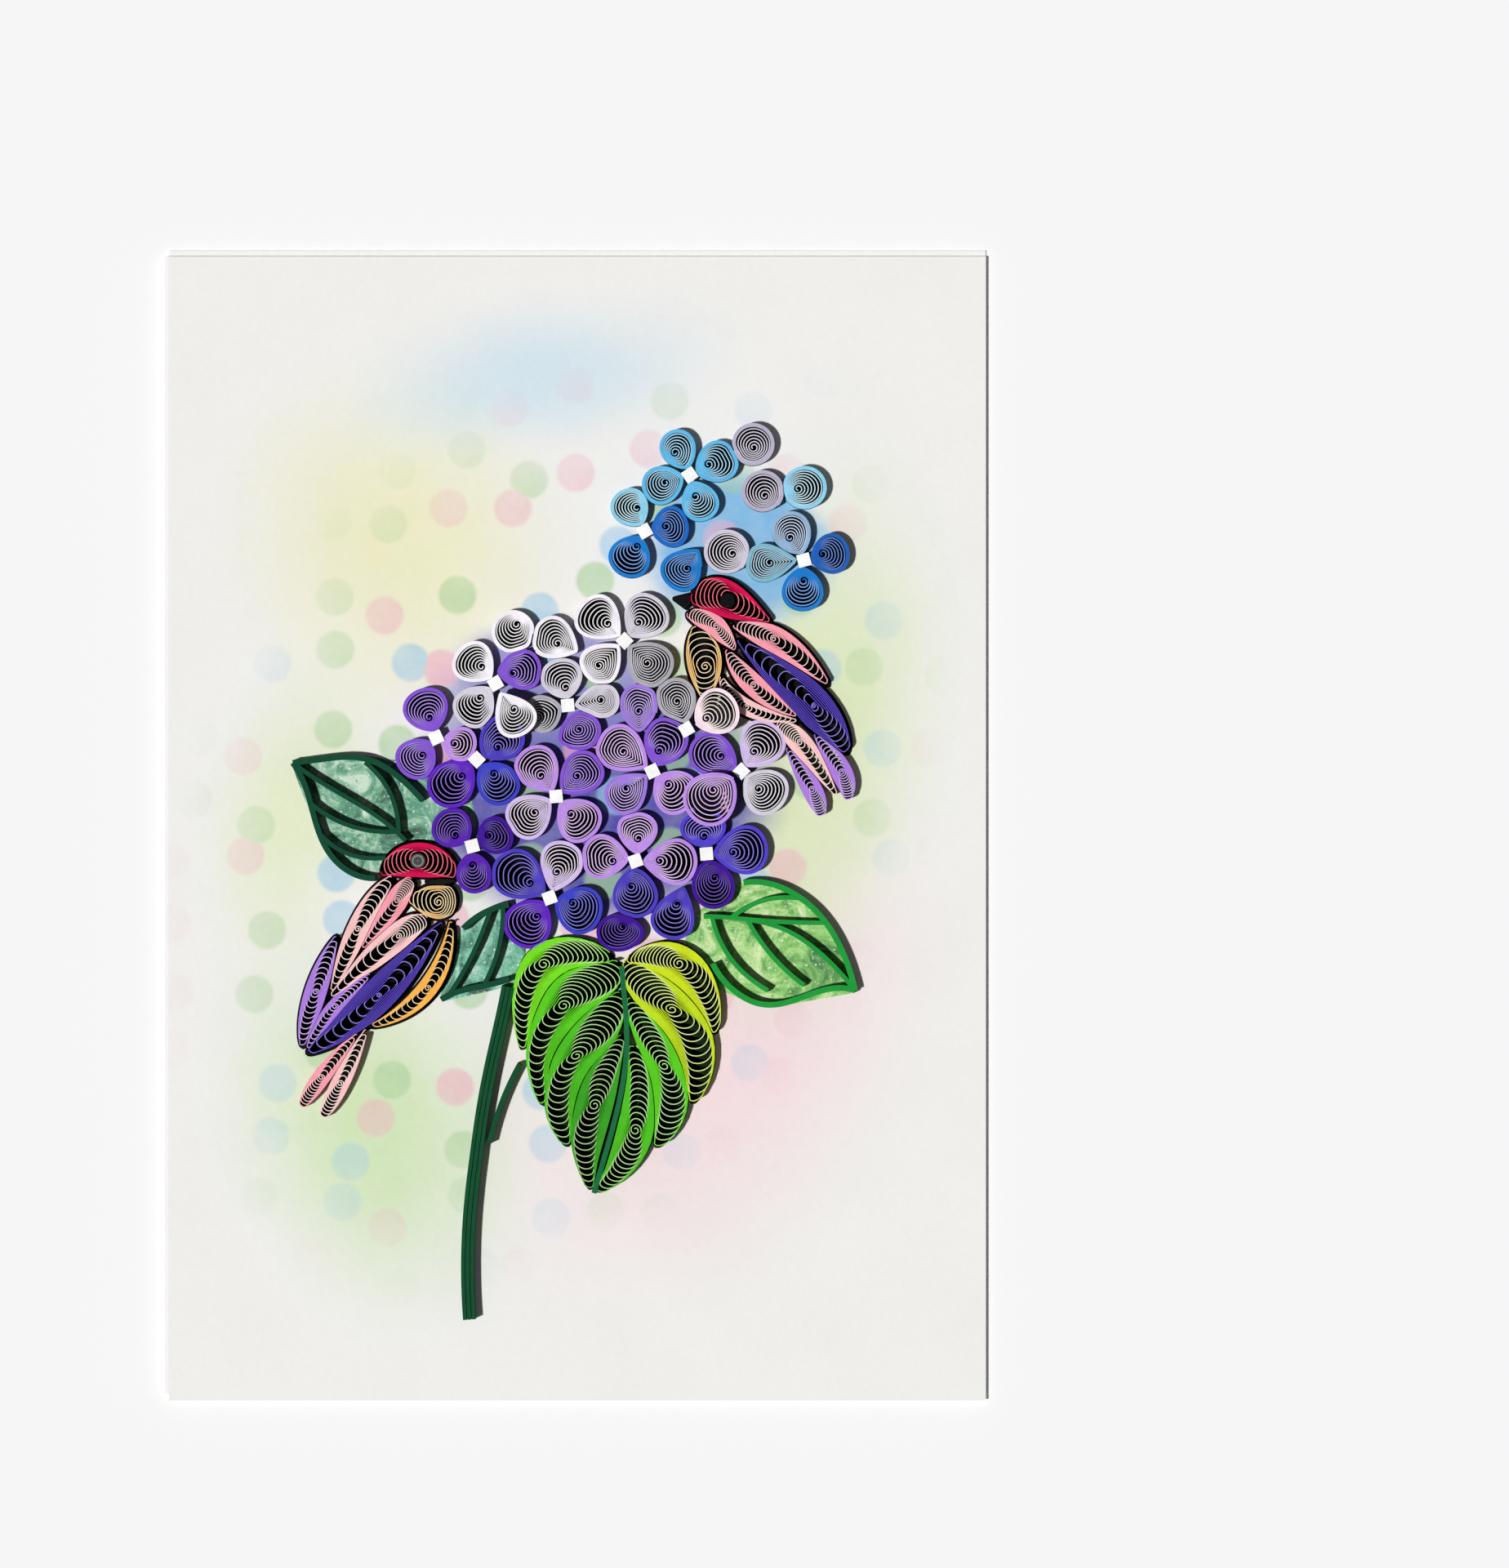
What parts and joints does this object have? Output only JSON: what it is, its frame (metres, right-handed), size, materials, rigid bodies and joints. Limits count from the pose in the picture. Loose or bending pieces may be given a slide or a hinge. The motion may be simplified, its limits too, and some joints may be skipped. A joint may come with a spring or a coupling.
{
  "type": "quilled greeting card",
  "caption": "Folded greeting card with a raised picture of flowers, two birds and leaves made of coiled paper strips standing on edge.",
  "frame": {"origin": "centre of the closed card's underside, with its fold and slipped back leaf counted in", "axes": "+X from the fold to the free edge, +Y up the picture, +Z out of the picture"},
  "size_m": [0.1277, 0.1788, 0.0074],
  "materials": {
    "black_paper": "matte",
    "card_paper": "matte",
    "crimson_paper": "matte",
    "dark_green_paper": "matte",
    "green_paper": "matte",
    "indigo_paper": "matte",
    "lilac_paper": "matte",
    "lime_paper": "matte",
    "orange_paper": "matte",
    "peach_paper": "matte",
    "pearl_paper": "matte",
    "pink_paper": "matte",
    "purple_paper": "matte",
    "royal_paper": "matte",
    "sky_paper": "matte",
    "slate_paper": "matte",
    "violet_paper": "matte",
    "white_paper": "matte",
    "yellow_lime_paper": "matte"
  },
  "bodies": {
    "root": {"blue_flower": "royal_paper", "blue_single_coils": "slate_paper", "card": "card_paper", "flower_centres": "white_paper", "indigo_flower_left": "indigo_paper", "indigo_flower_low": "indigo_paper", "indigo_flower_right": "indigo_paper", "indigo_single_coils": "indigo_paper", "leaf_loop_left_1": "lime_paper", "leaf_loop_left_2": "lime_paper", "leaf_loop_left_3": "green_paper", "leaf_loop_left_4": "green_paper", "leaf_loop_right_1": "yellow_lime_paper", "leaf_loop_right_2": "yellow_lime_paper", "leaf_loop_right_3": "green_paper", "leaf_loop_right_4": "green_paper", "leaf_midrib": "dark_green_paper", "lilac_flower_centre": "lilac_paper", "lilac_flower_low": "lilac_paper", "lilac_flower_middle": "lilac_paper", "lilac_flower_right": "lilac_paper", "lower_bird_beak": "dark_green_paper", "lower_bird_eye": "black_paper", "lower_bird_head": "crimson_paper", "lower_bird_indigo_feather": "indigo_paper", "lower_bird_lilac_feather": "lilac_paper", "lower_bird_orange_feather": "orange_paper", "lower_bird_pink_feather_inner": "pink_paper", "lower_bird_pink_feather_middle": "pink_paper", "lower_bird_pink_feather_outer": "pink_paper", "lower_bird_tail": "pink_paper", "lower_bird_throat": "peach_paper", "lower_bird_violet_feather": "violet_paper", "outline_leaf_behind_bird": "dark_green_paper", "outline_leaf_left": "dark_green_paper", "outline_leaf_right": "green_paper", "pearl_flower_left": "pearl_paper", "pearl_flower_middle": "pearl_paper", "pearl_flower_right": "pearl_paper", "pearl_flower_top": "pearl_paper", "pearl_single_coils": "pearl_paper", "sky_flower": "sky_paper", "slate_flower": "slate_paper", "stem": "dark_green_paper", "stem_branch": "dark_green_paper", "upper_bird_beak": "black_paper", "upper_bird_belly": "pink_paper", "upper_bird_body": "pink_paper", "upper_bird_breast": "peach_paper", "upper_bird_eye": "black_paper", "upper_bird_head": "crimson_paper", "upper_bird_neck": "pink_paper", "upper_bird_tail": "purple_paper", "upper_bird_wing": "indigo_paper", "upper_bird_wing_top": "pink_paper", "violet_flower_left": "purple_paper", "violet_flower_low": "purple_paper", "violet_single_coils": "purple_paper"}
  },
  "joints": []
}
